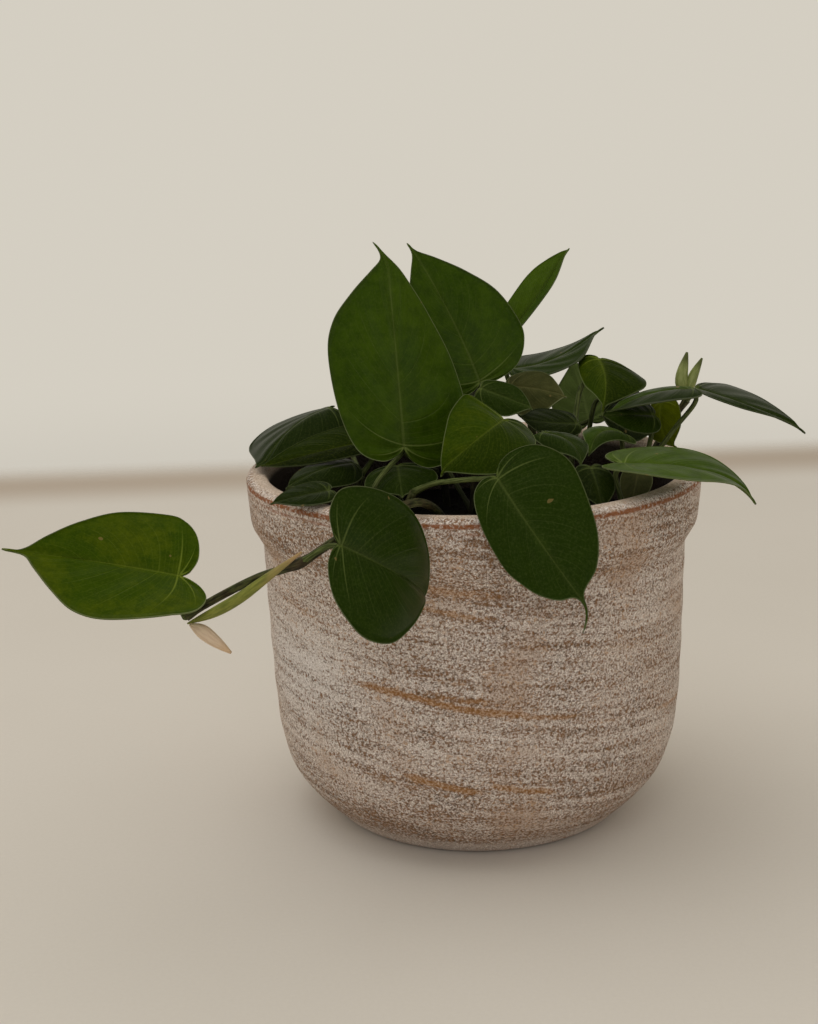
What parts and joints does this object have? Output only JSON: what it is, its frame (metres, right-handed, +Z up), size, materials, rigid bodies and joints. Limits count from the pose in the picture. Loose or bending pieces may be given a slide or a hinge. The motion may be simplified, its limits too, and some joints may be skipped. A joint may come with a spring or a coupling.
{
  "type": "potted heartleaf plant",
  "caption": "Leafy heartleaf plant with upright, hanging and trailing leaves, growing in soil in a round whitewashed clay pot with a collar.",
  "frame": {"origin": "centre of the pot's foot, on the surface it stands on", "axes": "+Z up along the pot's axis; -Y is the front, the side that the long trailing stem leaves over the rim; +X is to the right seen from the front"},
  "size_m": [0.2503, 0.2329, 0.2065],
  "materials": {
    "pot": "unglazed terracotta under a worn chalky whitewash, matt",
    "soil": "dark loose potting soil",
    "stem": "smooth green plant stem",
    "leaf_dark": "satin deep green leaf",
    "leaf_light": "satin yellow-green young leaf",
    "leaf_olive": "satin brownish green leaf",
    "bud_sheath": "soft pale green bud sheath",
    "dry_sheath": "papery dried sheath",
    "young_shoot": "soft pale green shoot"
  },
  "bodies": {
    "root": {"bud_sheath": "bud_sheath", "dry_sheath": "dry_sheath", "leaf_curl_left": "leaf_dark", "leaf_curl_right": "leaf_dark", "leaf_dark_centre": "leaf_dark", "leaf_dark_front": "leaf_dark", "leaf_dark_round": "leaf_olive", "leaf_folded_centre": "leaf_light", "leaf_grey_centre": "leaf_dark", "leaf_grey_front": "leaf_dark", "leaf_hanging": "leaf_light", "leaf_left_back": "leaf_dark", "leaf_left_bright": "leaf_light", "leaf_left_edge": "leaf_dark", "leaf_left_low": "leaf_dark", "leaf_middle": "leaf_dark", "leaf_olive": "leaf_olive", "leaf_over_front_rim": "leaf_dark", "leaf_over_left_rim": "leaf_dark", "leaf_over_right_rim": "leaf_dark", "leaf_rear_left": "leaf_dark", "leaf_rear_over_rim": "leaf_dark", "leaf_rear_right": "leaf_dark", "leaf_rear_side": "leaf_dark", "leaf_rear_upright": "leaf_dark", "leaf_right_crest": "leaf_dark", "leaf_right_folded": "leaf_light", "leaf_right_inward": "leaf_dark", "leaf_right_outward": "leaf_dark", "leaf_right_shade": "leaf_dark", "leaf_runner": "leaf_light", "leaf_spear": "leaf_dark", "leaf_tall_back": "leaf_dark", "leaf_tall_front": "leaf_dark", "new_shoot": "young_shoot", "pot": "pot", "soil": "soil", "vine_centre": "stem", "vine_far_right": "stem", "vine_front": "stem", "vine_front_right": "stem", "vine_left": "stem", "vine_rear": "stem", "vine_rear_right": "stem", "vine_right": "stem", "vine_runner": "stem"}
  },
  "joints": []
}
